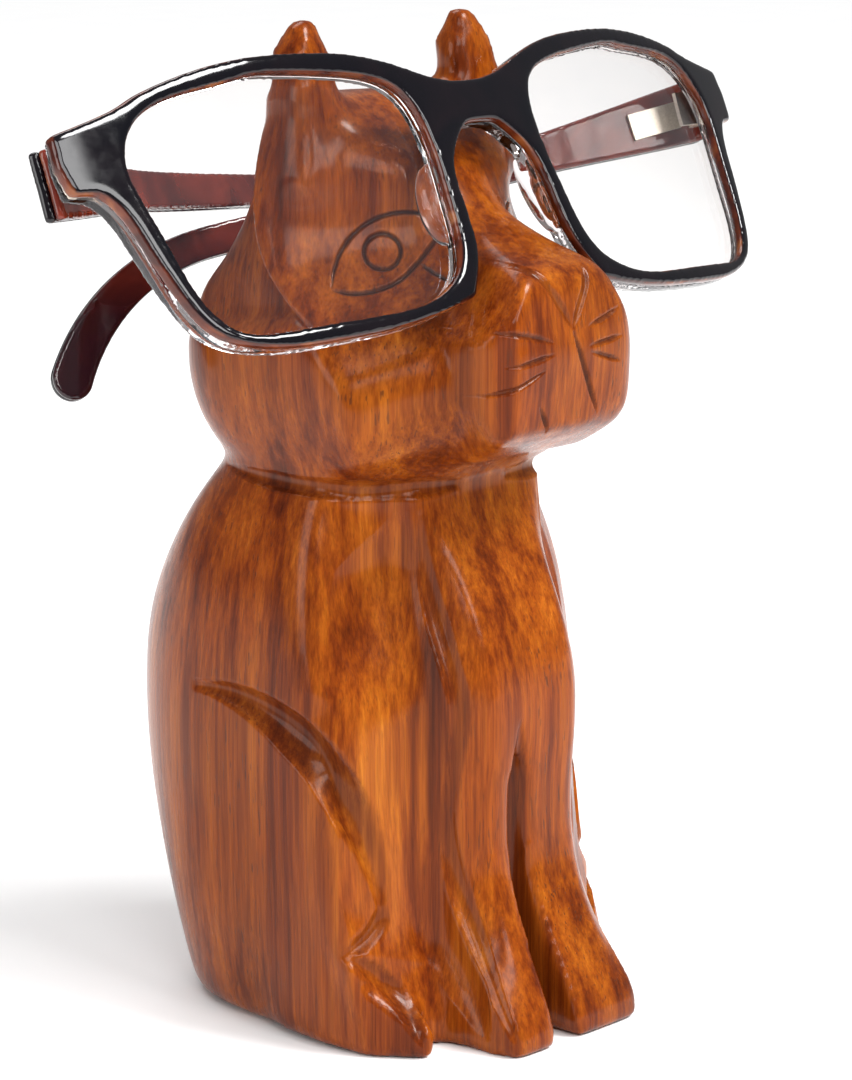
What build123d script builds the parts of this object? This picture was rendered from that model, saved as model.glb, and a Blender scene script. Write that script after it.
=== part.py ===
from build123d import *
import os
from math import cos, radians, sin

# A carved wooden cat that holds a pair of eyeglasses on its snout, and the eyeglasses it holds.
# The cat faces -Y and sits on Z = 0, with X = 0 as its middle plane. Sizes are in millimetres.

# ---- carved cat -------------------------------------------------------------------------------
LEG_FRONT_HALF = 9.0        # half width of the flat front of the two front legs
LEG_HALF = 14.0             # half width across the outside of the two front legs
EAR_TOP = 148.5
EAR_ROOT = 124.0
LEG_GAP_TOP = 47.0
LEG_GAP_X = -3.0
LEG_GAP_BOTTOM_WIDTH, LEG_GAP_TOP_WIDTH = 4.6, 1.4
LEG_GAP_DEPTH_BOTTOM, LEG_GAP_DEPTH_TOP = 7.0, 3.0

# z, front, front arris, back of leg side, flank half width, right and left flank front, flank back, back
TORSO = [
    (0, -25.5, -24.5, -12, 28.0, -7, -4, 17, 42),
    (9, -22.5, -20.4, -10, 29.2, -7, -3, 18, 45),
    (18, -18.0, -13.2, -8, 30.0, -6, 0, 19, 48),
    (28, -15.2, -10.0, -8, 30.4, -4, 2, 20, 51),
    (40, -15.2, -10.6, -8, 30.6, -2, 4, 21, 53),
    (50, -15.4, -11.2, -8, 30.4, 0, 4, 21, 53.5),
    (58, -14.0, -8.8, -6, 29.8, 2, 4.5, 20, 53),
    (66, -10.8, -5.2, -3, 28.8, 3, 5.5, 19, 49.5),
    (74, -6.8, -4.4, -1, 27.0, 4, 8, 18, 44),
    (82, -4.4, -3.6, 0, 23.8, 5, 9.5, 16, 37),
    (92, -4.0, -3.0, 1, 21.0, 7, 11, 14, 31),
]

# z, front, half width of the front, face ridge, half width at the ridge, side back, back
HEAD = [
    (81.5, -2.0, 8.0, 3.0, 20.0, 16, 29),
    (84, -7.0, 10.0, -1.0, 23.5, 18, 33),
    (90, -13.0, 13.5, -4.0, 26.4, 20, 36),
    (97, -15.5, 15.5, -2.0, 27.8, 21, 37),
    (103, -13.5, 15.5, 2.5, 28.0, 21, 36),
    (109, -9.0, 13.5, 8.0, 27.6, 21, 33.5),
    (115, -4.0, 9.5, 12.0, 27.0, 18, 29.0),
    (122, -1.2, 9.5, 14.0, 25.8, 15, 25),
    (130, 0.5, 10.0, 14.0, 24.0, 14.5, 21.5),
    (137, 3.0, 11.0, 15.5, 20.5, 16, 20),
]

# Front edge of the haunch on the flank, as (y, z), from its top round to the hock
HAUNCH_TOP = [(20, 51.5), (12, 50.5), (6, 48.0), (0.5, 43.6), (-4.0, 36.5), (-6.0, 29.5)]
HAUNCH_HOCK = [(-5.6, 20.5), (-0.5, 13.0), (20, 13.0)]
LEFT_HAUNCH_BACK = 8.0      # the left thigh is carved this much further back

# ---- eyeglasses -------------------------------------------------------------------------------
# In the plane of the front, u runs to the wearer's left (+X), w up the lenses, and depth backwards.
GLASSES_AT = (0.0, -7.4, 129.0)     # middle of the bridge, at the front face
LENS_TILT = 28.0                    # the lens plane leans back at its top
AXIS_TILT = 20.0                    # the hinge axes lean back less
FACE_RADIUS = 222.0                 # wrap of the front, seen from above
DARK_LAYER = 1.9
CLEAR_LAYER = 2.3
LENS_THICKNESS = 1.8
LENS_MIDDLE, LENS_GROWTH = (36.0, -1.8), 1.026   # the lens edge sits about 0.5 mm in its groove
HINGE_U, HINGE_W = 65.4, 8.6
ENDPIECE_BACK = 14.2                # flat seat of the hinge, behind the middle of the front face
BUTT_GAP = 0.3                      # between the butt of an open arm and the endpiece
AXIS_OUT = 1.6                      # hinge axis to the endpiece seat, and to the arm's inner face
BARREL_RADIUS = 1.3
SCREW_RADIUS, SCREW_HEAD_RADIUS = 0.7, 1.15
RUNNING_CLEARANCE = 0.05
KNUCKLE, KNUCKLE_GAP = 1.7, 0.1
HINGE_HALF = 1.5 * KNUCKLE + KNUCKLE_GAP    # half the height of the three knuckles
LEAF = 0.6
ARM_OUTER, ARM_INNER = 1.6, 1.4     # the two bonded layers of an arm
ARM_STRAIGHT, ARM_BEND_RADIUS, ARM_BEND = 84.0, 34.0, 52.0
ARM_LENGTH = 120.0
ARM_BOW = 360.0                     # radius of each arm's inward bow, seen from above
BUTT_RUN = BUTT_GAP - AXIS_OUT      # the butt reaches back past the axis to the endpiece
RIGHT_FOLD, LEFT_FOLD = 31.0, 28.5  # angle of each folded arm behind the front
RIGHT_RISE, LEFT_RISE = 1.5, -3.5   # set of each arm up from square to its hinge axis

# Outline of the front's right half as (u, w), and of one lens opening
RIM_TOP = [(0, 12.0), (7, 13.0), (12, 15.0), (20, 17.6), (31, 19.1), (44, 19.2), (57, 16.8), (70, 13.8)]
RIM_END = [(70, 13.8), (70.4, 9.5), (69.6, 5.2), (66.2, 4.6)]
RIM_BOTTOM = [(66.2, 4.6), (64.3, 2.2), (62.3, -4.2), (60.2, -11.6), (57.4, -17.2), (51.0, -20.8),
              (39.4, -22.2), (25.5, -22.0), (13.8, -20.0)]
RIM_NOSE = [(13.8, -20.0), (10.6, -14.5), (9.4, -6), (7.6, 1.5), (4.2, 5.0), (0, 5.8)]
OPENING = [(40, 16.8), (51, 15.8), (58.0, 13.2), (60.9, 8.6), (60.6, 2.0), (59.0, -6.0), (57.3, -13.2),
           (53.8, -18.0), (46, -19.6), (33, -20.1), (21, -19.2), (14.9, -15.6), (12.2, -6), (11.5, 4),
           (13.8, 11.4), (22, 14.9), (30, 16.2)]


def mirrored(half):
    """Closed outline points from the right half, given from front to back."""
    return [(-x, y) for x, y in reversed(half) if x > 0] + half


def torso_face(z, front, arris, leg_back, flank, right_front, left_front, flank_back, back):
    leg = [(LEG_FRONT_HALF, front), (LEG_HALF, arris), (LEG_HALF + 1.5, leg_back)]
    flat = [(-flank, flank_back), (-flank, right_front), *mirrored(leg),
            (flank, left_front), (flank, flank_back)]
    points = [(x, y, z) for x, y in flat]
    sides = Polyline(*points)
    rump = Spline(points[-1], (0, back, z), points[0], tangents=[(0, 1, 0), (0, -1, 0)],
                  tangent_scalars=[1.5, 1.5])
    return make_face([*sides.edges(), rump])


def head_face(z, front, front_half, ridge, ridge_half, side_back, back):
    half = [(front_half, front), (ridge_half, ridge), (ridge_half, side_back)]
    points = [(x, y, z) for x, y in mirrored(half)]
    sides = Polyline(*points)
    nape = Spline(points[-1], (0, back, z), points[0], tangents=[(0, 1, 0), (0, -1, 0)],
                  tangent_scalars=[1.5, 1.5])
    return make_face([*sides.edges(), nape])


def snout_block():
    """The muzzle: a side profile cut to the plan shape and to a roof over the bridge of the nose."""
    side = [(6, 126.0), (-2.5, 125.0), (-6, 120.6), (-12, 117.2), (-20.8, 114.2), (-22.2, 112.0),
            (-23.4, 102), (-22.4, 91.5), (-20.0, 89.6), (-14.5, 86.5), (-4, 84.0), (6, 86)]
    profile = make_face(Polyline(*[(0, y, z) for y, z in side], close=True))
    block = extrude(profile, 25, dir=(1, 0, 0), both=True)
    plan = [(11.5, -24.5), (15.5, -19.5), (17.0, -12), (22, 0), (22, 8)]
    plan_face = make_face(Polyline(*[(x, y, 80) for x, y in mirrored(plan)], close=True))
    block &= extrude(plan_face, 60)
    roof = [(3.0, 126), (7.0, 117.8), (9.8, 113.2), (12.6, 108.6), (16.5, 104), (17.0, 97),
            (14.0, 90), (9.0, 80)]
    roof_face = make_face(Polyline(*[(x, 10, z) for x, z in mirrored(roof)], close=True))
    return block & extrude(roof_face, 45, dir=(0, -1, 0))


def ear(side):
    def ring(points, z):
        return make_face(Polyline(*[(side * x, y, z) for x, y in points], close=True))
    root = ring([(24.5, 20.5), (11.0, 19.5), (9.8, 9.5), (24.8, 7.0)], EAR_ROOT)
    tip = ring([(17.3, 15.6), (15.2, 15.4), (15.0, 13.8), (17.2, 13.4)], EAR_TOP)
    return loft([root, tip], ruled=True)


def haunch(side):
    """The thigh, which stands proud of the flank in front, with the hind paw below it."""
    front = Spline(*[(0, y, z) for y, z in HAUNCH_TOP])
    hock = Spline(*[(0, y, z) for y, z in [HAUNCH_TOP[-1], *HAUNCH_HOCK[:2]]])
    rest = Polyline(*[(0, y, z) for y, z in [*HAUNCH_HOCK[1:], HAUNCH_TOP[0]]])
    thigh = extrude(make_face([*front.edges(), *hock.edges(), *rest.edges()]), 40, dir=(side, 0, 0))
    paw_side = [(10, 0), (10, 14), (-3.0, 14), (-12.8, 5.6), (-15, 3.5), (-15, 0)]
    paw = make_face(Polyline(*[(0, y, z) for y, z in paw_side], close=True))
    thigh += extrude(paw, 40, dir=(side, 0, 0))
    plan = [(8, 21), (30.0, 21), (30.0, 0), (27.8, -8), (22.0, -16), (20.5, -16), (20.5, 0), (8, 0)]
    return thigh & extrude(make_face(Polyline(*[(side * x, y, 0) for x, y in plan], close=True)), 60)


def leg_gap():
    """The slot between the two front legs, widest and deepest at the base."""
    def mouth(z, front, width, depth):
        return Pos(LEG_GAP_X, front + depth / 2, z) * Rectangle(width, depth)
    low = mouth(-1, -30, LEG_GAP_BOTTOM_WIDTH, 30 - 20 + LEG_GAP_DEPTH_BOTTOM)
    high = mouth(LEG_GAP_TOP, -20, LEG_GAP_TOP_WIDTH, 20 - 15.2 + LEG_GAP_DEPTH_TOP)
    return loft([low, high], ruled=True)


def carved_cat():
    body = loft([torso_face(*row) for row in TORSO])
    head = loft([head_face(*row) for row in HEAD])
    # The forehead slopes down to the brow and the nape slopes down behind the ears.
    forehead = Plane((0, 11.6, 135.8), x_dir=(1, 0, 0), z_dir=(0, -0.55, 0.835))
    nape = Plane((0, 13.0, 136.2), x_dir=(1, 0, 0), z_dir=(0, 0.5, 0.866))
    for cut in (forehead, nape):
        head -= cut * Pos(0, 0, 20) * Box(80, 60, 40)
    cat = body + head + snout_block()
    for side in (-1, 1):
        cat += ear(side)
        cat += Pos(0, LEFT_HAUNCH_BACK if side > 0 else 0, 0) * haunch(side)
    cat -= leg_gap()
    return cat


def front_plane():
    tilt = radians(LENS_TILT)
    return Plane(GLASSES_AT, x_dir=(1, 0, 0), z_dir=(0, -cos(tilt), sin(tilt)))


def front_point(u, w, depth):
    tilt = radians(LENS_TILT)
    up, back = Vector(0, sin(tilt), cos(tilt)), Vector(0, cos(tilt), -sin(tilt))
    return Vector(*GLASSES_AT) + Vector(u, 0, 0) + up * w + back * depth


def wrap_layer(start, thickness):
    """A curved sheet across the whole front, its face this far behind the front face."""
    outer = Cylinder(FACE_RADIUS - start, 70, rotation=(90, 0, 0))
    inner = Cylinder(FACE_RADIUS - start - thickness, 70, rotation=(90, 0, 0))
    sheet = Pos(0, 0, -FACE_RADIUS) * (outer - inner)
    return sheet & Box(160, 80, 60)


def front_outline():
    right = [Spline(*RIM_TOP, tangents=[(1, 0), (1, -0.15)]), Polyline(*RIM_END),
             Spline(*RIM_BOTTOM), Spline(*RIM_NOSE, tangents=[(-0.6, 1), (-1, 0)])]
    edges = [edge for curve in right for edge in curve.edges()]
    return make_face(edges + [mirror(edge, Plane.YZ) for edge in edges])


def lens_outline(side, grow=1.0):
    points = [(LENS_MIDDLE[0] + (u - LENS_MIDDLE[0]) * grow, LENS_MIDDLE[1] + (w - LENS_MIDDLE[1]) * grow)
              for u, w in OPENING]
    return make_face(Spline(*[(side * u, w) for u, w in points], periodic=True))


def lens(side):
    blank = extrude(lens_outline(side, LENS_GROWTH), 30, both=True)
    return blank & wrap_layer(DARK_LAYER, LENS_THICKNESS)


def hinge_plane(side):
    """At a hinge axis: x inwards, z up the axis, and y backwards (right) or forwards (left)."""
    tilt = radians(AXIS_TILT)
    back = Vector(0, cos(tilt), -sin(tilt))
    seat = front_point(side * HINGE_U, HINGE_W, ENDPIECE_BACK)
    return Plane(seat + back * AXIS_OUT, x_dir=(-side, 0, 0), z_dir=(0, sin(tilt), cos(tilt)))


def seat_cutter(side):
    """Clears the back of an endpiece flat, square to the hinge axis."""
    back = -side
    return hinge_plane(side) * (Pos(-1.5, back * (10 - AXIS_OUT), 0) * Box(13, 20, 26))


def nose_pad(side):
    pad = scale(Sphere(1), by=(1.3, 6.6, 3.2))
    return Pos(side * 10.9, -5.0, -5.0) * Rot(0, side * -24, side * 8) * pad


def hinge_barrel(start, height, hole):
    ring = Cylinder(BARREL_RADIUS, height) - Cylinder(hole, height + 1)
    return Pos(0, 0, start + height / 2) * ring


def front_leaf(side):
    """Plate on the endpiece seat with the two outer knuckles."""
    back = -side
    leaf = Pos(2.0, back * (LEAF / 2 - AXIS_OUT), 0) * Box(6.6, LEAF, 2 * HINGE_HALF)
    leaf -= Cylinder(BARREL_RADIUS + KNUCKLE_GAP, KNUCKLE + 2 * KNUCKLE_GAP)
    for start in (-HINGE_HALF, HINGE_HALF - KNUCKLE):
        middle = start + KNUCKLE / 2
        web = Pos(0, back * (LEAF - AXIS_OUT) / 2, middle) * Box(1.7, AXIS_OUT, KNUCKLE)
        leaf += hinge_barrel(start, KNUCKLE, SCREW_RADIUS)
        leaf += web - Pos(0, 0, middle) * Cylinder(SCREW_RADIUS, KNUCKLE + 1)
    return hinge_plane(side) * leaf


def screw(side):
    """Hinge screw with a slotted head sunk against the upper knuckle."""
    shank = Cylinder(SCREW_RADIUS, 2 * HINGE_HALF)
    head = Pos(0, 0, HINGE_HALF + 0.3) * Cylinder(SCREW_HEAD_RADIUS, 0.6)
    slot = Pos(0, 0, HINGE_HALF + 0.5) * Box(3, 0.3, 0.4)
    return hinge_plane(side) * (shank + head - slot)


def arm_plane(side):
    """At a hinge axis: x along the folded arm, y up the arm, z across it."""
    tilt = radians(AXIS_TILT)
    fold = radians(RIGHT_FOLD if side < 0 else LEFT_FOLD)
    rise = radians(RIGHT_RISE if side < 0 else LEFT_RISE)
    back, axis = Vector(0, cos(tilt), -sin(tilt)), Vector(0, sin(tilt), cos(tilt))
    flat = Vector(-side, 0, 0) * cos(fold) + back * sin(fold)
    along = flat * cos(rise) + axis * sin(rise)
    up = axis * cos(rise) - flat * sin(rise)
    return Plane(hinge_plane(side).origin, x_dir=along, z_dir=along.cross(up))


def arm_station(run):
    """Middle line of an arm at this distance from its hinge: x, y, slope in degrees, half height."""
    bend = min(max(run - ARM_STRAIGHT, 0), ARM_BEND_RADIUS * radians(ARM_BEND))
    turn = bend / ARM_BEND_RADIUS
    rest = max(run - ARM_STRAIGHT - bend, 0)
    x = min(run, ARM_STRAIGHT) + ARM_BEND_RADIUS * sin(turn) + rest * cos(turn)
    y = -ARM_BEND_RADIUS * (1 - cos(turn)) - rest * sin(turn)
    if run < 30:
        half = 4.9 - 2.0 * run / 30
    elif run < ARM_STRAIGHT:
        half = 2.9 - 0.5 * (run - 30) / (ARM_STRAIGHT - 30)
    else:
        half = 2.4 + 0.9 * (run - ARM_STRAIGHT) / (ARM_LENGTH - ARM_STRAIGHT)
    return x, y, turn, half


def arm_outline():
    tops, bottoms = [], []
    for run in (BUTT_RUN, 12, 26, 44, 62, 78, 86, 94, 102, 110, ARM_LENGTH - 3.3):
        x, y, turn, half = arm_station(run)
        tops.append((x + half * sin(turn), y + half * cos(turn)))
        bottoms.append((x - half * sin(turn), y - half * cos(turn)))
    x, y, turn, _ = arm_station(ARM_LENGTH)
    end = ThreePointArc(tops[-1], (x, y), bottoms[-1])
    return make_face([Spline(*tops), end, Spline(*bottoms), Line(bottoms[0], tops[0])])


def arm_layers(side):
    """The outer and the inner layer of one arm, in the arm's own plane."""
    outward = side
    blank = extrude(arm_outline(), 60, both=True)
    layers = []
    for start, thickness in ((AXIS_OUT + ARM_INNER, ARM_OUTER), (AXIS_OUT, ARM_INNER)):
        bowed = Cylinder(ARM_BOW + start + thickness, 120, rotation=(90, 0, 0))
        bowed -= Cylinder(ARM_BOW + start, 120, rotation=(90, 0, 0))
        layers.append(arm_plane(side) * (blank & (Pos(0, 0, -outward * ARM_BOW) * bowed)))
    return layers


def arm_leaf(side):
    """Plate let into the inner face of an arm, with the middle knuckle."""
    outward = side
    to_hinge = hinge_plane(side)
    knuckle = to_hinge * hinge_barrel(-KNUCKLE / 2, KNUCKLE, SCREW_RADIUS + RUNNING_CLEARANCE)
    plate = Pos(6.2, 0, outward * (AXIS_OUT - LEAF / 2 - 0.12)) * Box(8.0, 4.2, LEAF)
    web = Pos(1.6, 0, outward * (AXIS_OUT - LEAF / 2 - 0.12)) * Box(2.0, KNUCKLE - 0.1, LEAF)
    plate = arm_plane(side) * (plate + web)
    hole = to_hinge * Cylinder(SCREW_RADIUS + RUNNING_CLEARANCE, 12)
    return knuckle + plate - hole


def save(part, name):
    part.label = name
    export_step(part, f"parts/{name}.step")


def main():
    os.makedirs("parts", exist_ok=True)
    save(carved_cat(), "carved_cat")
    plane = front_plane()
    lenses = {"right": lens(-1), "left": lens(1)}
    frame = extrude(front_outline(), 30, both=True)
    for side in (-1, 1):
        frame -= extrude(lens_outline(side), 30, both=True)
    dark = frame & wrap_layer(0, DARK_LAYER)
    clear = frame & wrap_layer(DARK_LAYER, CLEAR_LAYER)
    for side in (-1, 1):
        clear += nose_pad(side)
    clear -= dark
    for glass in lenses.values():
        clear -= glass
        dark -= glass
    dark, clear = plane * dark, plane * clear
    for side in (-1, 1):
        clear -= seat_cutter(side)
        dark -= seat_cutter(side)
    save(dark, "front_frame")
    save(clear, "clear_back_layer")
    for name, glass in lenses.items():
        save(plane * glass, f"lens_{name}")
    for name, side in (("right", -1), ("left", 1)):
        outer, inner = arm_layers(side)
        leaf = arm_leaf(side)
        save(outer, f"temple_{name}_outer")
        save(inner - leaf, f"temple_{name}_inner")
        save(front_leaf(side), f"hinge_{name}_front_leaf")
        save(leaf, f"hinge_{name}_temple_leaf")
        save(screw(side), f"hinge_{name}_screw")


main()
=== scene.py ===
"""Looks for the carved cat that holds a pair of eyeglasses on its snout.

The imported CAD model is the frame. The wood and the acetate get new meshes, made from copies of
the CAD solids: remeshed, softened and carved in code. Lengths are in millimetres, except where
the floor, the lights and the camera are placed, which is in metres.
"""

import math

import bmesh
import bpy
import numpy as np
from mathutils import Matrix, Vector


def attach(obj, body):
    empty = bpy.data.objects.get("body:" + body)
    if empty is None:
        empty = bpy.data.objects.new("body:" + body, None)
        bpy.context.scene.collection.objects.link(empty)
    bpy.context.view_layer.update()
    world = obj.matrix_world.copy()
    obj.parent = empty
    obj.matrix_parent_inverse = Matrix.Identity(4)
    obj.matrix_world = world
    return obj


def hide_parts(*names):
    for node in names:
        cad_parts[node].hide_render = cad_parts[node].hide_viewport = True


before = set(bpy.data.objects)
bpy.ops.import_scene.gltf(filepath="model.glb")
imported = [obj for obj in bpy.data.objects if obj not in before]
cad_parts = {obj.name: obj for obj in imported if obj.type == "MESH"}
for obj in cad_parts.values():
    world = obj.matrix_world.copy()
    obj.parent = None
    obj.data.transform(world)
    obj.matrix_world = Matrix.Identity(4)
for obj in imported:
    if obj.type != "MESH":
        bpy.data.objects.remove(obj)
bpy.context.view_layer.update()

MM = 0.001
FRONT_TILT = math.radians(28)  # how far the front of the eyeglasses leans back

# ---- mesh helpers -----------------------------------------------------------------------------


def unit(vector):
    vector = np.array(vector, float)
    return vector / np.linalg.norm(vector)


def points_of(mesh):
    flat = np.empty(len(mesh.vertices) * 3)
    mesh.vertices.foreach_get("co", flat)
    return flat.reshape(-1, 3) / MM


def normals_of(mesh):
    flat = np.empty(len(mesh.vertices) * 3)
    mesh.vertices.foreach_get("normal", flat)
    return flat.reshape(-1, 3)


def move_to(mesh, points):
    mesh.vertices.foreach_set("co", (points * MM).ravel())
    mesh.update()


def relax(mesh, rounds, weight=1.0):
    """Moves each point halfway to the middle of its neighbours, this many times."""
    points = points_of(mesh)
    ends = np.empty(len(mesh.edges) * 2, np.int32)
    mesh.edges.foreach_get("vertices", ends)
    a, b = ends[0::2], ends[1::2]
    size = len(points)
    count = np.maximum(np.bincount(ends, minlength=size), 1)
    share = np.broadcast_to(0.5 * np.asarray(weight, float), size)
    for _ in range(rounds):
        for k in range(3):
            axis = points[:, k]
            total = np.bincount(a, axis[b], size) + np.bincount(b, axis[a], size)
            points[:, k] += share * (total / count - axis)
    move_to(mesh, points)


def solid_copy(name, nodes, voxel):
    """One even, closed mesh round copies of some CAD nodes."""
    bm = bmesh.new()
    for node in nodes:
        bm.from_mesh(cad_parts[node].data)
    bmesh.ops.remove_doubles(bm, verts=bm.verts, dist=1e-6)
    mesh = bpy.data.meshes.new(name)
    bm.to_mesh(mesh)
    bm.free()
    piece = bpy.data.objects.new(name, mesh)
    bpy.context.scene.collection.objects.link(piece)
    skin = piece.modifiers.new("skin", "REMESH")
    skin.mode = "VOXEL"
    skin.voxel_size = voxel * MM
    evaluated = piece.evaluated_get(bpy.context.evaluated_depsgraph_get())
    piece.data = bpy.data.meshes.new_from_object(evaluated)
    piece.data.name = name
    piece.modifiers.clear()
    return piece


def shade_smooth(piece):
    piece.data.polygons.foreach_set("use_smooth", [True] * len(piece.data.polygons))
    piece.data.update()


def store(mesh, name, values):
    attribute = mesh.attributes.new(name, "FLOAT", "POINT")
    attribute.data.foreach_set("value", values.astype(np.float32))


def step_up(value, low, high):
    """0 below low, 1 above high, and a smooth turn between them."""
    t = np.clip((value - low) / (high - low), 0, 1)
    return t * t * (3 - 2 * t)


# ---- carved lines -----------------------------------------------------------------------------
# Each line is drawn in a flat view of the wood, as (across, up), and cut in square to that view.


class View:
    """A flat view of the wood along `facing`, with its own across and up axes."""

    def __init__(self, facing, origin=(0, 0, 0)):
        self.facing = unit(facing)
        self.across = unit(np.cross((0, 0, 1), self.facing))
        self.up = np.cross(self.facing, self.across)
        self.origin = np.array(origin, float)

    def flat(self, points):
        rel = points - self.origin
        return np.stack([rel @ self.across, rel @ self.up], 1)

    def sees(self, normals):
        """How fully each surface is in view, from 0 to 1."""
        return step_up(normals @ self.facing, 0.0, 0.4)


def distance_to_line(points, line):
    """Distance from each flat point to a polyline, and how far along it that is, from 0 to 1."""
    line = np.array(line, float)
    steps = np.linalg.norm(np.diff(line, axis=0), axis=1)
    run = np.concatenate([[0], np.cumsum(steps)])
    best = np.full(len(points), 1e9)
    along = np.zeros(len(points))
    for k, length in enumerate(steps):
        start, leg = line[k], line[k + 1] - line[k]
        t = np.clip((points - start) @ leg / length**2, 0, 1)
        gap = np.linalg.norm(points - start - t[:, None] * leg, axis=1)
        nearer = gap < best
        best[nearer] = gap[nearer]
        along[nearer] = (run[k] + t[nearer] * length) / run[-1]
    return best, along


def smooth_line(points, rounds=3):
    """Rounds a drawn line by cutting its corners, with its ends kept."""
    line = np.array(points, float)
    for _ in range(rounds):
        first, second = line[:-1], line[1:]
        cut = np.empty((2 * len(first), 2))
        cut[0::2] = 0.75 * first + 0.25 * second
        cut[1::2] = 0.25 * first + 0.75 * second
        line = np.concatenate([line[:1], cut, line[-1:]])
    return line


def circle(middle, radius, steps=40):
    turn = np.linspace(0, 2 * math.pi, steps + 1)
    return np.stack([middle[0] + radius * np.cos(turn), middle[1] + radius * np.sin(turn)], 1)


class Groove:
    """A line cut this wide and deep. taper thins it at its ends, over that share of its length."""

    THINNEST = 0.25  # share of its width that a tapering line keeps at its tip
    TAPER_CURVE = 0.6  # below 1, so that a line thins late and then quickly

    def __init__(self, view, line, width, depth, taper=0.0, region=None, darkening=1.0, rounded=True):
        self.view, self.width, self.depth, self.taper = view, width, depth, taper
        self.line = smooth_line(line) if rounded else np.array(line, float)
        self.region, self.darkening = region, darkening

    def near(self, points, normals, reach):
        """(how fully it may be cut, distance to the line, how far along) at each point."""
        gap, along = distance_to_line(self.view.flat(points), self.line)
        hit = self.view.sees(normals) * (gap < reach)
        if self.region is not None:
            hit = hit * self.region(points)
        return hit, gap, along

    def cut(self, points, normals):
        """(how deep to cut, how dark) at each point: scorched in the fine lines, painted shade in
        the gouges.
        """
        hit, gap, along = self.near(points, normals, self.width)
        full = np.ones(len(points))
        if self.taper:
            ends = np.minimum(along, 1 - along) / self.taper
            full = np.clip(ends, 0.0, 1.0) ** self.TAPER_CURVE
        half = 0.5 * self.width * np.maximum(full, self.THINNEST)
        shape = np.clip(1 - (gap / half) ** 2, 0, 1) * hit
        return shape * self.depth * full, np.sqrt(shape) * full * self.darkening


def refine(piece, grooves, margin):
    """Splits the mesh's faces once near the carved lines."""
    mesh = piece.data
    points, normals = points_of(mesh), normals_of(mesh)
    chosen = np.zeros(len(points), bool)
    for groove in grooves:
        chosen |= groove.near(points, normals, 0.5 * groove.width + margin)[0] > 0
    bm = bmesh.new()
    bm.from_mesh(mesh)
    edges = [e for e in bm.edges if chosen[e.verts[0].index] and chosen[e.verts[1].index]]
    bmesh.ops.subdivide_edges(bm, edges=edges, cuts=1, use_grid_fill=True)
    bm.to_mesh(mesh)
    bm.free()
    mesh.update()


def mirrored(line):
    return [(-across, up) for across, up in line]


# ---- cat --------------------------------------------------------------------------------------
CAT_VOXEL = 0.8
FRONT_VIEW = View((0, -1, 0))
RIGHT_VIEW = View((-1, 0, 0))
LEFT_VIEW = View((1, 0, 0))
# The right eye's view is how the camera sees the cat, with (0, 0) at the middle of its right eye.
# The left eye's view is its mirror image.
EYE_FACING = np.array((-0.715, -0.667, 0.208))
EYE_MIDDLE = np.array((-18.0, -1.3, 116.3))
OTHER_SIDE = np.array((-1, 1, 1))
RIGHT_EYE_VIEW = View(EYE_FACING, EYE_MIDDLE)
LEFT_EYE_VIEW = View(EYE_FACING * OTHER_SIDE, EYE_MIDDLE * OTHER_SIDE)

# The gouge round the front of the thigh, and the cut from its end back over the hock to the paw,
# both in the right eye's view
THIGH_GOUGE = [(-28.0, -62.2), (-22.5, -62.9), (-15.9, -66.2), (-9.5, -71.8), (-4.8, -78.3),
               (-1.6, -85.2), (0.2, -91.0), (0.4, -96.5)]
HOCK_CUT = [(0.4, -92.5), (0.3, -95.8), (-1.4, -98.4), (-3.6, -100.2), (-6.0, -101.2)]
# The top edge of the hind paw, in the right eye's view
PAW_CUT = [(-6.0, -101.2), (-2.3, -102.2), (2.3, -106.5), (5.3, -111.3), (6.8, -115.5)]
LEFT_THIGH_SHIFT = (5.8, 1.1)  # where the left thigh's lines lie, against the right one's mirrored
# The top edge of the hind paw, as (-y, z) on the right flank
PAW_EDGE = [(0.5, 13), (8, 11), (14, 8), (20, 2)]
LEFT_THIGH_BACK = 8  # how much further back the left thigh is

LIGHT_SANDING, HEAVY_SANDING, GOUGE_SANDING = 12, 45, 60  # rounds of smoothing

EAR_LEVELS = np.arange(132, 149, 2)
EAR_SLICE = 1.5  # half the thickness of the slice that gives an ear's middle at each level
EAR_FULLER = 0.75  # share of its own width that an ear gains
EAR_LEAN = 0.56  # how far an ear moves out, and as far back
EDGE_SANDING, ROOT_SANDING = 4, 24  # rounds for the ears and gouges, and for the ears' roots


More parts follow.
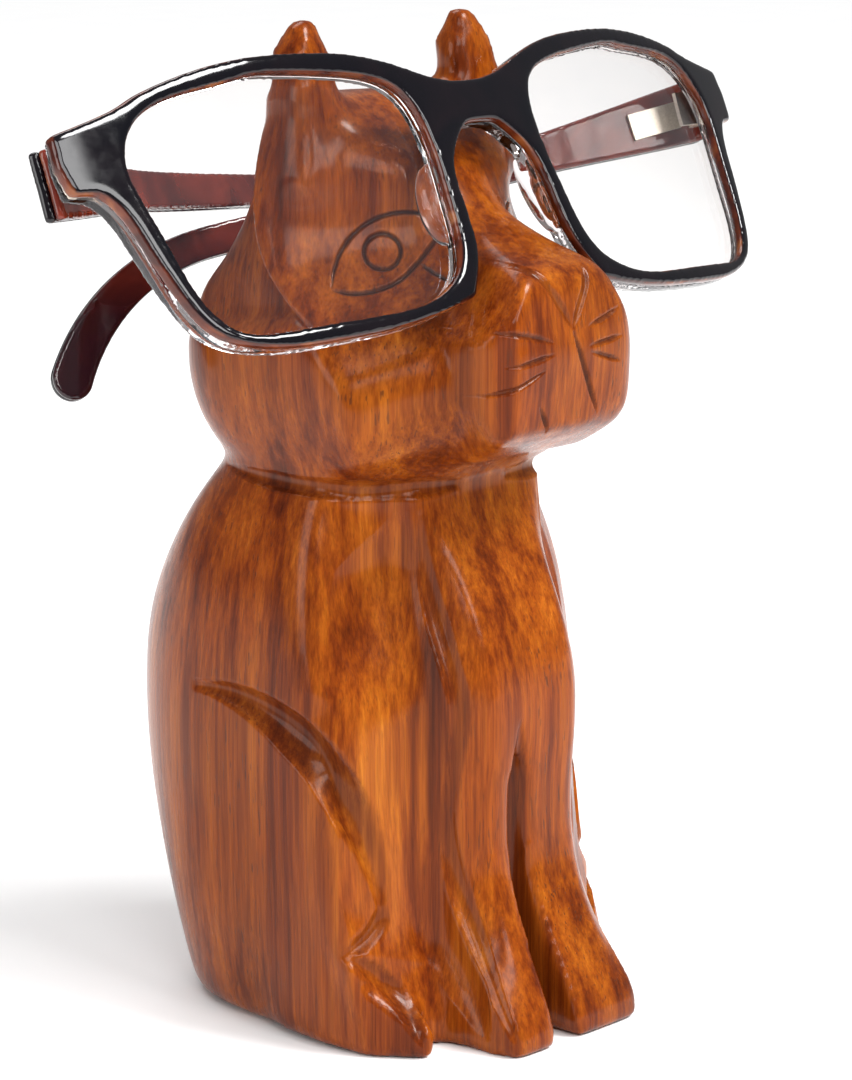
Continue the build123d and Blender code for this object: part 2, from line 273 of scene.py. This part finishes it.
def sand(piece):
    """Smooths the sawn block: little at the crisp edges, most on the round of the body."""
    rough = points_of(piece.data)
    across, ahead, height = rough[:, 0], -rough[:, 1], rough[:, 2]
    ear_tips = step_up(height, 132, 138)
    ear_roots = step_up(height, 110, 118) * (1 - step_up(height, 128, 136))
    muzzle = step_up(ahead, 6, 12) * step_up(height, 86, 90)
    left_of_muzzle = muzzle * step_up(across, 3, 9)
    trunk = (1 - step_up(height, 76, 90)) * step_up(-ahead, -8, 6)
    right_gap = distance_to_line(np.stack([ahead, height], 1), PAW_EDGE)[0]
    left_gap = distance_to_line(np.stack([ahead + LEFT_THIGH_BACK, height], 1), PAW_EDGE)[0]
    paw_gap = np.where(across < 0, right_gap, left_gap)
    paw = (1 - step_up(paw_gap, 2.5, 7)) * step_up(np.abs(across), 10, 14)
    kept = np.maximum.reduce([0.6 * ear_tips, 0.8 * (muzzle - left_of_muzzle), 0.7 * paw])
    relax(piece.data, LIGHT_SANDING, 1 - kept)
    round_parts = np.maximum.reduce([trunk * (1 - 0.93 * paw), 0.8 * ear_roots, left_of_muzzle])
    relax(piece.data, HEAVY_SANDING, round_parts)

    # The step down from the thigh is sanded away where its gouge goes.
    flat = RIGHT_EYE_VIEW.flat(points_of(piece.data))
    gouge_gap = distance_to_line(flat, THIGH_GOUGE[3:])[0]
    beside_gouge = (1 - step_up(gouge_gap, 5, 9)) * step_up(-across, 6, 10)
    relax(piece.data, GOUGE_SANDING, beside_gouge)


def fill_ears(piece):
    """Makes each ear fuller than the block it was sawn from, leaning a little out and back."""
    points = points_of(piece.data)
    height = points[:, 2].copy()
    for sign in (-1, 1):
        this_side = points[:, 0] * sign > 3
        slices = [this_side & (np.abs(height - level) < EAR_SLICE) for level in EAR_LEVELS]
        middles = np.array([points[part, :2].mean(axis=0) for part in slices])
        fuller = this_side * step_up(height, 133, 144)
        for k, lean in enumerate((EAR_LEAN * sign, EAR_LEAN)):
            middle = np.interp(height, EAR_LEVELS, middles[:, k])
            points[:, k] += fuller * (EAR_FULLER * (points[:, k] - middle) + lean)
    move_to(piece.data, points)


cat = solid_copy("cat", ["carved_cat"], CAT_VOXEL)
block_height = points_of(cat.data)[:, 2]
ear_bases = step_up(block_height, 122, 130) * (1 - step_up(block_height, 139, 144))
sand(cat)
fill_ears(cat)
relax(cat.data, EDGE_SANDING, step_up(block_height, 116, 124))
relax(cat.data, ROOT_SANDING, ear_bases)

# The lines round the eye, in the right eye's view
IRIS_RADIUS = 2.6
LID_UPPER = [(-7.2, -5.6), (-6.9, -2.6), (-5.9, 0.2), (-4.1, 2.7), (-1.3, 4.8), (3.0, 5.9),
             (6.8, 5.2), (8.8, 3.6)]
LID_LOWER = [(-7.2, -5.6), (-4.8, -6.2), (-1.3, -6.0), (2.3, -4.5), (5.1, -1.6), (8.8, 3.6)]
TEAR_LINE = [(4.9, -1.4), (7.4, -3.3), (10.2, -4.9)]
# The lines on the muzzle, as (x, z) from the front
NOSE_RIGHT = [(-10.3, 116.0), (-6.5, 113.8), (-3.9, 110.0), (-2.3, 107.7), (-1.0, 105.4)]
NOSE_LEFT = [(3.7, 114.2), (2.6, 111.4), (0.9, 108.7), (-1.0, 105.4)]
LIP_LINE = [(-1.0, 105.7), (-0.1, 103.1), (1.0, 100.5), (2.8, 97.0), (5.1, 92.6)]
MOUTH_RIGHT = [(-7.8, 95.2), (-6.6, 93.4), (-5.2, 90.8)]
WHISKERS_RIGHT = [
    [(-15.5, 106.3), (-10.2, 105.5), (-5.3, 104.0)],
    [(-14.0, 101.3), (-9.1, 101.9), (-5.3, 102.4)],
    [(-16.6, 97.0), (-12.0, 98.5), (-7.0, 100.3)],
]
WHISKERS_LEFT = [
    [(2.4, 105.6), (6.0, 106.4), (9.9, 107.6)],
    [(2.3, 102.8), (6.0, 103.1), (9.9, 103.5)],
    [(2.5, 102.0), (6.1, 100.9), (9.6, 99.8)],
]

# The front edge of the front leg, and the crease under the head, both in the right eye's view
LEG_EDGE = [(5.8, -36.7), (6.1, -42.7), (7.6, -50.3), (9.8, -57.9), (11.8, -65.5), (10.6, -73.0),
            (9.1, -80.6), (10.3, -88.2), (12.1, -94.2), (15.9, -104.8), (20.5, -115.5)]
NECK_CREASE = [(-23.0, -29.5), (-19.5, -31.2), (-12.5, -33.0), (-5.0, -34.0), (5.0, -33.6),
               (14.0, -32.2)]
# The outer edge of the ear and cheek, in the right eye's view. Behind it the head is cut back.
EAR_EDGE = [(-15.5, 27.0), (-17.1, 18.0), (-18.2, 12.0), (-18.5, 6.0), (-17.7, 0.5), (-15.9, -3.6),
            (-13.6, -7.1), (-10.6, -10.2), (-7.0, -12.6)]
EAR_EDGE_DEPTH = 2.0
SHADE_BEHIND_EAR = 0.35
# The hollow behind the front corner of each front leg, as (-y, z) on the right side
LEG_HOLLOW = [(2.5, 78), (1.2, 70), (2.6, 62), (6.0, 55), (8.2, 47.5), (7.4, 37), (6.4, 26),
              (9.0, 17.5), (15.5, 9.5), (19.5, 2)]
# The bottom of the slot between the front legs, as (x, z) from the front
LEG_SLOT = [(-3.0, 47.5), (-3.0, 30), (-3.0, 15), (-3.0, 1)]


def on_muzzle(points):
    return points[:, 1] < -9


def beside_leg(points):
    return (points[:, 1] < 4) & (points[:, 2] < 80) & (np.abs(points[:, 0]) > 8)


def low_front(points):
    return (points[:, 1] < -6) & (points[:, 2] < 50)


def both_sides(out, low=-math.inf, high=math.inf):
    """Two tests for points between two heights, further out than this to the right and left."""

    def test(sign):
        return lambda points: ((sign * points[:, 0] > out) & (points[:, 2] > low)
                               & (points[:, 2] < high))

    return test(-1), test(1)


HEAD_SIDES = both_sides(4, low=95)
THIGH_SIDES = both_sides(8, high=60)
BODY_SIDES = both_sides(5, high=90)


def eye_lines(view, region, flip):
    """The two lids, the tear line and the iris of one eye."""
    drawn = (LID_UPPER, LID_LOWER, TEAR_LINE)
    upper, lower, tear = (mirrored(line) if flip else line for line in drawn)
    return [
        Groove(view, upper, 0.75, 0.4, 0.12, region),
        Groove(view, lower, 0.8, 0.45, 0.12, region),
        Groove(view, tear, 0.7, 0.35, 0.3, region),
        Groove(view, circle((0, 0), IRIS_RADIUS), 0.75, 0.45, 0, region, rounded=False),
    ]


# Each row says: view, line, width, depth, taper, where it may cut, and how burnt it is.
grooves = (eye_lines(RIGHT_EYE_VIEW, HEAD_SIDES[0], False)
           + eye_lines(LEFT_EYE_VIEW, HEAD_SIDES[1], True))
grooves += [
    Groove(FRONT_VIEW, NOSE_RIGHT, 1.5, 0.45, 0.25, on_muzzle, 0.45),
    Groove(FRONT_VIEW, NOSE_LEFT, 1.5, 0.45, 0.25, on_muzzle, 0.45),
    Groove(FRONT_VIEW, LIP_LINE, 1.0, 0.6, 0.25, on_muzzle, 0.85),
    Groove(FRONT_VIEW, MOUTH_RIGHT, 0.9, 0.5, 0.4, on_muzzle, 0.9),
]
for whisker in WHISKERS_RIGHT + WHISKERS_LEFT:
    grooves.append(Groove(FRONT_VIEW, whisker, 0.85, 0.4, 0.3, on_muzzle, 0.6))


def on_left_thigh(line):
    return [(LEFT_THIGH_SHIFT[0] - across, up + LEFT_THIGH_SHIFT[1]) for across, up in line]


def pair(line, left_line, width, depth, taper, sides, darkening=1.0):
    """The same cut on the right and the left side, each drawn in its own eye's view."""
    return [
        Groove(RIGHT_EYE_VIEW, line, width, depth, taper, sides[0], darkening),
        Groove(LEFT_EYE_VIEW, left_line, width, depth, taper, sides[1], darkening),
    ]


# The last number in each row darkens the cut: painted shade in the hollow of each gouge and
# crease.
gouges = [
    *pair(THIGH_GOUGE, on_left_thigh(THIGH_GOUGE), 6.4, 2.8, 0.36, THIGH_SIDES, 0.45),
    *pair(HOCK_CUT, on_left_thigh(HOCK_CUT), 3.0, 1.1, 0.3, THIGH_SIDES, 0.45),
    *pair(PAW_CUT, on_left_thigh(PAW_CUT), 2.8, 0.9, 0.25, THIGH_SIDES, 0.35),
    *pair(LEG_EDGE, mirrored(LEG_EDGE), 3.4, 0.9, 0.2, BODY_SIDES, 0.3),
    *pair(NECK_CREASE, mirrored(NECK_CREASE), 3.0, 0.9, 0.2, BODY_SIDES, 0.35),
    Groove(FRONT_VIEW, LEG_SLOT, 3.6, 0.5, 0.2, low_front, 0.5),
    Groove(RIGHT_VIEW, LEG_HOLLOW, 7.0, 1.1, 0.1, beside_leg, 0.0),
    Groove(LEFT_VIEW, mirrored(LEG_HOLLOW), 7.0, 1.1, 0.1, beside_leg, 0.0),
]
# These have no depth. They only give the mesh finer faces where the head is cut back behind them.
ear_edges = pair(EAR_EDGE, mirrored(EAR_EDGE), 2.0, 0.0, 0.0, HEAD_SIDES)


def behind_ear(points):
    """1 on the side of the head just behind the edge of an ear or cheek, and less further back."""
    line = smooth_line(EAR_EDGE)
    most = np.zeros(len(points))
    for flip in ((1, 1, 1), OTHER_SIDE):
        as_right = points * flip
        flat = RIGHT_EYE_VIEW.flat(as_right)
        gap = distance_to_line(flat, line)[0]
        behind = flat[:, 0] < np.interp(flat[:, 1], line[::-1, 1], line[::-1, 0])
        fade = step_up(flat[:, 1], -12.5, -8) * (1 - step_up(flat[:, 1], 16, 24))
        share = behind * step_up(gap, 0, 0.9) * (1 - step_up(gap, 6, 18)) * fade
        most = np.maximum(most, share * step_up(-as_right[:, 0], 8, 13))
    return most


def cut_back(piece):
    """Sinks the side of the head behind the edge of each ear and cheek."""
    points, normals = points_of(piece.data), normals_of(piece.data)
    move_to(piece.data, points - normals * (EAR_EDGE_DEPTH * behind_ear(points))[:, None])


def carve(piece, cuts):
    """Cuts the lines into the mesh, and gives how deep and how dark each point is: scorched in the
    fine lines, painted shade in the gouges.
    """
    points, normals = points_of(piece.data), normals_of(piece.data)
    depth = np.zeros(len(points))
    burn_and_shade = np.zeros(len(points))
    for groove in cuts:
        cut, darkening = groove.cut(points, normals)
        depth = np.maximum(depth, cut)
        burn_and_shade = np.maximum(burn_and_shade, darkening)
    move_to(piece.data, points - normals * depth[:, None])
    return depth, burn_and_shade


# The wide gouges come first and are sanded, and then the fine lines, which stay sharp.
refine(cat, gouges + ear_edges, 1.5)
cut_back(cat)
gouge_depth, _ = carve(cat, gouges)
relax(cat.data, EDGE_SANDING, step_up(gouge_depth, 0.0, 0.3))
refine(cat, grooves, 1.3)
refine(cat, grooves, 0.5)
sanded_points, sanded_normals = points_of(cat.data), normals_of(cat.data)
_, burn_and_shade = carve(cat, grooves)
# Painted shade: the gouges and creases are darkened in their hollows, by the same measure as they
# were cut.
for gouge in gouges:
    burn_and_shade = np.maximum(burn_and_shade, gouge.cut(sanded_points, sanded_normals)[1])
# Painted shade: the side of the head behind the edge of each ear and cheek is darkened.
burn_and_shade = np.maximum(burn_and_shade, SHADE_BEHIND_EAR * behind_ear(sanded_points))
store(cat.data, "burn_and_shade", burn_and_shade)
shade_smooth(cat)

# ---- acetate ----------------------------------------------------------------------------------
ACETATE_VOXEL = 0.28
POLISHING, RIM_POLISHING = 12, 24  # rounds of smoothing
RIM_REGAIN = 0.08


def polished(name, node, rounds=POLISHING, regain=0.0):
    """A copy of a CAD solid with its edges softened, as tumbled acetate has them.

    regain is how far its faces are then moved back out, to keep a thin rim as thick as it was.
    """
    piece = solid_copy(name, [node], ACETATE_VOXEL)
    relax(piece.data, rounds)
    move_to(piece.data, points_of(piece.data) + regain * normals_of(piece.data))
    shade_smooth(piece)
    return piece


front = polished("front_dark", "front_frame", RIM_POLISHING, RIM_REGAIN)
backing = polished("front_clear", "clear_back_layer")
temples = {}
for side in ("right", "left"):
    for layer in ("outer", "inner"):
        node = f"temple_{side}_{layer}"
        temples[node] = polished(f"{node}_layer", node)

# ---- materials --------------------------------------------------------------------------------


class Nodes:
    """Short names for the shader nodes of one material."""

    def __init__(self, name):
        self.material = bpy.data.materials.new(name)
        self.material.use_nodes = True
        self.tree = self.material.node_tree
        self.shader = self.tree.nodes["Principled BSDF"]
        place = self.add("ShaderNodeTexCoord")
        self.place = place.outputs["Object"]

    def add(self, kind, **settings):
        node = self.tree.nodes.new(kind)
        for key, value in settings.items():
            setattr(node, key, value)
        return node

    def link(self, source, target):
        self.tree.links.new(source, target)

    def set(self, **sockets):
        for key, value in sockets.items():
            self.shader.inputs[key.replace("_", " ")].default_value = value

    def stretch(self, per_mm, turn=(0, 0, 0)):
        """Object coordinates in millimetres, scaled per axis."""
        node = self.add("ShaderNodeMapping")
        node.inputs["Scale"].default_value = [s / MM for s in per_mm]
        node.inputs["Rotation"].default_value = turn
        self.link(self.place, node.inputs["Vector"])
        return node.outputs["Vector"]

    def noise(self, vector, detail=3.0, rough=0.55, distort=0.0):
        node = self.add("ShaderNodeTexNoise")
        node.inputs["Scale"].default_value = 1.0
        node.inputs["Detail"].default_value = detail
        node.inputs["Roughness"].default_value = rough
        node.inputs["Distortion"].default_value = distort
        self.link(vector, node.inputs["Vector"])
        return node.outputs["Fac"]

    def ramp(self, source, stops):
        node = self.add("ShaderNodeValToRGB")
        ramp = node.color_ramp
        while len(ramp.elements) < len(stops):
            ramp.elements.new(0.5)
        for element, (position, colour) in zip(ramp.elements, stops):
            element.position = position
            grey = isinstance(colour, (int, float))
            element.color = (colour, colour, colour, 1) if grey else (*colour, 1)
        self.link(source, node.inputs["Fac"])
        return node.outputs["Color"]

    def math(self, operation, a, b=0.0):
        node = self.add("ShaderNodeMath", operation=operation)
        for socket, value in zip(node.inputs, (a, b)):
            if isinstance(value, (int, float)):
                socket.default_value = value
            else:
                self.link(value, socket)
        return node.outputs["Value"]

    def mix(self, amount, a, b, blend="MIX"):
        node = self.add("ShaderNodeMix", data_type="RGBA", blend_type=blend)
        for index, value in ((0, amount), (6, a), (7, b)):
            socket = node.inputs[index]
            if isinstance(value, (int, float)):
                socket.default_value = value
            elif isinstance(value, tuple):
                socket.default_value = (*value, 1)
            else:
                self.link(value, socket)
        return node.outputs[2]

    def attribute(self, name):
        return self.add("ShaderNodeAttribute", attribute_name=name).outputs["Fac"]

    def bump(self, height, distance, strength=1.0):
        node = self.add("ShaderNodeBump")
        node.inputs["Strength"].default_value = strength
        node.inputs["Distance"].default_value = distance * MM
        self.link(height, node.inputs["Height"])
        self.link(node.outputs["Normal"], self.shader.inputs["Normal"])

    def dress(self, piece):
        piece.data.materials.clear()
        piece.data.materials.append(self.material)


def facing_share(nodes, direction):
    """How squarely a surface faces a fixed direction of the object, from -1 to 1."""
    geometry = nodes.add("ShaderNodeNewGeometry")
    dot = nodes.add("ShaderNodeVectorMath", operation="DOT_PRODUCT")
    nodes.link(geometry.outputs["Normal"], dot.inputs[0])
    dot.inputs[1].default_value = direction
    return dot.outputs["Value"]


GRAIN_LEAN = (0.02, 0.05, 0)  # radians off upright
PORE_BROWN = (0.055, 0.016, 0.008)
# The colour of the scorched fine lines, also used as painted shade in the gouges and behind the
# ears.
BURN_AND_SHADE_BROWN = (0.030, 0.006, 0.003)


def rosewood():
    """Lacquered red-brown rosewood: long upright grain, dark streaks, open pores, scorched fine
    cuts, painted shade in the gouges and behind the ears, and painted light on the faces turned to
    the front.
    """
    n = Nodes("rosewood")
    warp = n.noise(n.stretch((0.05, 0.05, 0.012)), 2)
    bands = n.noise(n.stretch((0.20, 0.20, 0.006), GRAIN_LEAN), 3, 0.6, 0.15)
    streaks = n.noise(n.stretch((1.1, 1.1, 0.02), GRAIN_LEAN), 4, 0.65, 0.1)
    fibres = n.noise(n.stretch((3.4, 3.4, 0.09)), 3, 0.6)
    pores = n.noise(n.stretch((2.6, 2.6, 0.22)), 1, 0.5)
    mottle = n.noise(n.stretch((0.05, 0.05, 0.03)), 2)

    tone = n.math("ADD", n.math("MULTIPLY", bands, 0.6), n.math("MULTIPLY", streaks, 0.4))
    colour = n.ramp(tone, [
        (0.32, (0.060, 0.009, 0.002)),
        (0.43, (0.130, 0.022, 0.003)),
        (0.52, (0.225, 0.048, 0.005)),
        (0.62, (0.325, 0.084, 0.009)),
        (0.76, (0.460, 0.150, 0.020)),
    ])
    warm = n.ramp(mottle, [(0.40, (1.0, 0.86, 0.80)), (0.62, (1.06, 1.04, 0.94))])
    colour = n.mix(1.0, colour, warm, "MULTIPLY")
    fibre_tone = n.ramp(fibres, [(0.34, 0.66), (0.60, 1.0)])
    colour = n.mix(0.75, colour, fibre_tone, "MULTIPLY")
    pore = n.ramp(pores, [(0.655, 0.0), (0.70, 1.0)])
    pore_band = n.ramp(warp, [(0.42, 0.25), (0.6, 1.0)])
    pore_here = n.math("MULTIPLY", pore, pore_band)
    colour = n.mix(n.math("MULTIPLY", pore_here, 0.75), colour, PORE_BROWN)

    # Painted light: faces turned to the front are made brighter and warmer than the sides.
    lit_front = n.ramp(facing_share(n, (0.0, -1.0, 0.0)), [(0.25, 0.0), (0.85, 1.0)])
    lit_front_colour = n.mix(1.0, colour, (1.3, 1.35, 0.75), "MULTIPLY")
    colour = n.mix(n.math("MULTIPLY", lit_front, 0.55), colour, lit_front_colour)
    # Darkened from the mesh: scorched fine lines, and painted shade in the gouges and behind the
    # ears.
    burn_and_shade = n.attribute("burn_and_shade")
    colour = n.mix(n.math("MULTIPLY", burn_and_shade, 0.9), colour, BURN_AND_SHADE_BROWN)
    n.link(colour, n.shader.inputs["Base Color"])

    dull = n.ramp(streaks, [(0.35, 0.36), (0.65, 0.24)])
    n.link(n.math("ADD", dull, n.math("MULTIPLY", burn_and_shade, 0.2)), n.shader.inputs["Roughness"])
    relief = n.math("SUBTRACT", n.math("MULTIPLY", fibres, 0.35),
                    n.math("MULTIPLY", pore_here, 0.8))
    n.bump(relief, 0.05, 0.5)
    n.set(Coat_Weight=0.28, Coat_Roughness=0.16, IOR=1.45, Specular_IOR_Level=0.12,
          Specular_Tint=(1.0, 0.55, 0.25, 1))
    return n


RAMP_HEIGHT = 200  # the height, in millimetres, at which a colour ramp over height ends
TIP_FADE = 12  # over how much height the tips turn dark
TIP_BLACK = (0.003, 0.002, 0.006)


def tortoise(name, face, edge, lo, hi, dark_below=None):
    """Polished acetate: one colour where it faces ahead or back, and red-brown at its edges.

    Its edge colour takes over from hi down to lo. Below the height dark_below it turns near black.
    """
    n = Nodes(name)
    forward = (0.0, -math.cos(FRONT_TILT), math.sin(FRONT_TILT))
    square = n.math("ABSOLUTE", facing_share(n, forward))
    cloud = n.noise(n.stretch((0.11, 0.11, 0.11)), 2, 0.5, 0.8)
    flame = n.noise(n.stretch((0.16, 0.16, 0.16)), 2, 0.5, 0.8)
    edge_colour = n.ramp(flame, [(0.38, edge[0]), (0.55, edge[1]), (0.70, edge[2])])
    share = n.ramp(n.math("ADD", square, n.math("MULTIPLY", n.math("SUBTRACT", cloud, 0.5), 0.35)),
                   [(lo, 1.0), (hi, 0.0)])
    face_colour = n.ramp(cloud, [(0.35, face[0]), (0.7, face[1])])
    colour = n.mix(share, face_colour, edge_colour)
    if dark_below is not None:
        split = n.add("ShaderNodeSeparateXYZ")
        n.link(n.stretch((1, 1, 1)), split.inputs[0])
        level = n.math("DIVIDE", split.outputs["Z"], RAMP_HEIGHT)
        start = dark_below / RAMP_HEIGHT
        low = n.ramp(level, [(start, 0.9), (start + TIP_FADE / RAMP_HEIGHT, 0.0)])
        colour = n.mix(low, colour, TIP_BLACK)
    n.link(colour, n.shader.inputs["Base Color"])
    haze = n.noise(n.stretch((0.6, 0.6, 0.6)), 2)
    n.link(n.ramp(haze, [(0.3, 0.05), (0.7, 0.09)]), n.shader.inputs["Roughness"])
    n.bump(n.noise(n.stretch((0.12, 0.12, 0.12)), 1), 0.05, 0.25)
    n.set(IOR=1.5)
    return n


def clear(name, tint, ior, haze, glint):
    """Clear plastic or glass with a faint tint and a trace of polish marks."""
    n = Nodes(name)
    wave = n.noise(n.stretch((0.2, 0.2, 0.2)), 2)
    lighter = tuple(min(1.0, c * 1.03) for c in tint)
    n.link(n.ramp(wave, [(0.35, tint), (0.65, lighter)]), n.shader.inputs["Base Color"])
    n.link(n.ramp(wave, [(0.3, haze), (0.7, haze * 1.6)]), n.shader.inputs["Roughness"])
    n.set(Transmission_Weight=1.0, IOR=ior, Specular_IOR_Level=0.5, Specular_Tint=(*glint, 1))
    return n


def plated_metal():
    """Dull plated hinge metal with fine polish marks."""
    n = Nodes("hinge_metal")
    grain = n.noise(n.stretch((3.0, 3.0, 3.0)), 3)
    n.link(n.ramp(grain, [(0.3, (0.62, 0.56, 0.47)), (0.7, (0.80, 0.75, 0.66))]),
           n.shader.inputs["Base Color"])
    n.link(n.ramp(grain, [(0.3, 0.34), (0.7, 0.46)]), n.shader.inputs["Roughness"])
    n.bump(grain, 0.02, 0.3)
    n.set(Metallic=1.0)
    return n


BLACK = [(0.001, 0.001, 0.003), (0.004, 0.002, 0.004)]
RED_EDGE = [(0.050, 0.008, 0.004), (0.13, 0.024, 0.008), (0.28, 0.085, 0.024)]
INNER_RED = [(0.085, 0.009, 0.006), (0.22, 0.030, 0.016)]
DARK_TIPS_BELOW = 104
wood = rosewood()
dark = tortoise("dark_acetate", BLACK, RED_EDGE, 0.45, 0.80)
arm_outside = tortoise("arm_outside", BLACK, RED_EDGE, -0.4, -0.2)
arm_inside = tortoise("arm_inside", INNER_RED, RED_EDGE, 0.15, 0.55, DARK_TIPS_BELOW)
crystal = clear("clear_acetate", (0.96, 0.91, 0.91), 1.49, 0.02, (1.0, 0.97, 1.0))
glass = clear("lens_glass", (0.98, 0.985, 0.99), 1.5, 0.0, (0.45, 0.8, 1.0))
metal = plated_metal()

# ---- pieces on their bodies -------------------------------------------------------------------
PIECES = [
    (cat, "carved_cat", "stand", "rosewood", wood),
    (front, "front_frame", "eyewear_front", "dark_acetate", dark),
    (backing, "clear_back_layer", "eyewear_front", "clear_acetate", crystal),
]
for side in ("right", "left"):
    outer, inner = f"temple_{side}_outer", f"temple_{side}_inner"
    PIECES += [
        (temples[outer], outer, f"temple_{side}", "dark_acetate", arm_outside),
        (temples[inner], inner, f"temple_{side}", "red_acetate", arm_inside),
    ]
for piece, node, body, slot, look in PIECES:
    look.dress(piece)
    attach(piece, body)
    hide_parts(node)

for node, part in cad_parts.items():
    if node.startswith("lens_"):
        glass.dress(part)
        shade_smooth(part)
    elif node.startswith("hinge_"):
        metal.dress(part)

# ---- floor, light and camera ------------------------------------------------------------------
# Places and sizes in this section are in metres.
FLOOR_HALF = 8.0
floor_mesh = bpy.data.meshes.new("floor")
floor_mesh.from_pydata(
    [(-FLOOR_HALF, -FLOOR_HALF, 0), (FLOOR_HALF, -FLOOR_HALF, 0),
     (FLOOR_HALF, FLOOR_HALF, 0), (-FLOOR_HALF, FLOOR_HALF, 0)], [], [(0, 1, 2, 3)])
floor = bpy.data.objects.new("floor", floor_mesh)
bpy.context.scene.collection.objects.link(floor)
paper = Nodes("floor_paper")
paper.link(paper.ramp(paper.noise(paper.stretch((0.02, 0.02, 0.02)), 2),
                      [(0.3, (0.95, 0.95, 0.955)), (0.7, (0.965, 0.965, 0.965))]),
           paper.shader.inputs["Base Color"])
paper.set(Roughness=0.9, Specular_IOR_Level=0.1)
paper.dress(floor)

WORLD_STRENGTH = 0.25
world = bpy.data.worlds.new("studio")
bpy.context.scene.world = world
world.use_nodes = True
world.node_tree.nodes["Background"].inputs["Color"].default_value = (1.0, 1.0, 1.0, 1)
world.node_tree.nodes["Background"].inputs["Strength"].default_value = WORLD_STRENGTH


def aimed(name, kind, place, aim):
    """A lamp of this kind at a place, pointed at another, and its settings."""
    lamp = bpy.data.objects.new(name, bpy.data.lights.new(name, kind))
    lamp.location = place
    lamp.rotation_mode = "QUATERNION"
    lamp.rotation_quaternion = (Vector(aim) - Vector(place)).to_track_quat("-Z", "Y")
    bpy.context.scene.collection.objects.link(lamp)
    return lamp.data


def softbox(name, place, aim, width, height, power):
    """A rectangular lamp, with its power in watts."""
    lamp = aimed(name, "AREA", place, aim)
    lamp.shape = "RECTANGLE"
    lamp.size, lamp.size_y, lamp.energy = width, height, power


HEART = (0, 0, 0.085)  # the middle of the cat
wash = aimed("wash", "SUN", (0.27, -0.55, 0.82), (0, 0, 0))
wash.angle = math.radians(22)
wash.energy = 3.1
softbox("left_box", (-0.62, -0.72, 0.78), HEART, 0.55, 0.5, 5)
softbox("front_box", (-0.064, -0.73, 0.60), HEART, 0.22, 0.45, 2.5)
softbox("flank_box", (-0.95, 0.15, 0.35), HEART, 0.4, 0.5, 2.5)
softbox("top_box", (0.1, 0.5, 1.0), HEART, 0.8, 0.4, 5)

CAMERA_PLACE = Vector((-0.3948, -0.3617, 0.1853))
CAMERA_LOOK = Vector((0.7154, 0.6671, -0.2079))
CAMERA_LENS, CAMERA_SENSOR = 123.33, 36  # millimetres
camera_data = bpy.data.cameras.new("camera")
camera_data.sensor_fit = "VERTICAL"
camera_data.sensor_height = CAMERA_SENSOR
camera_data.sensor_width = CAMERA_SENSOR
camera_data.lens = CAMERA_LENS
camera = bpy.data.objects.new("camera", camera_data)
camera.location = CAMERA_PLACE
camera.rotation_mode = "QUATERNION"
camera.rotation_quaternion = CAMERA_LOOK.to_track_quat("-Z", "Y")
bpy.context.scene.collection.objects.link(camera)
bpy.context.scene.camera = camera
bpy.context.scene.view_settings.view_transform = "Standard"
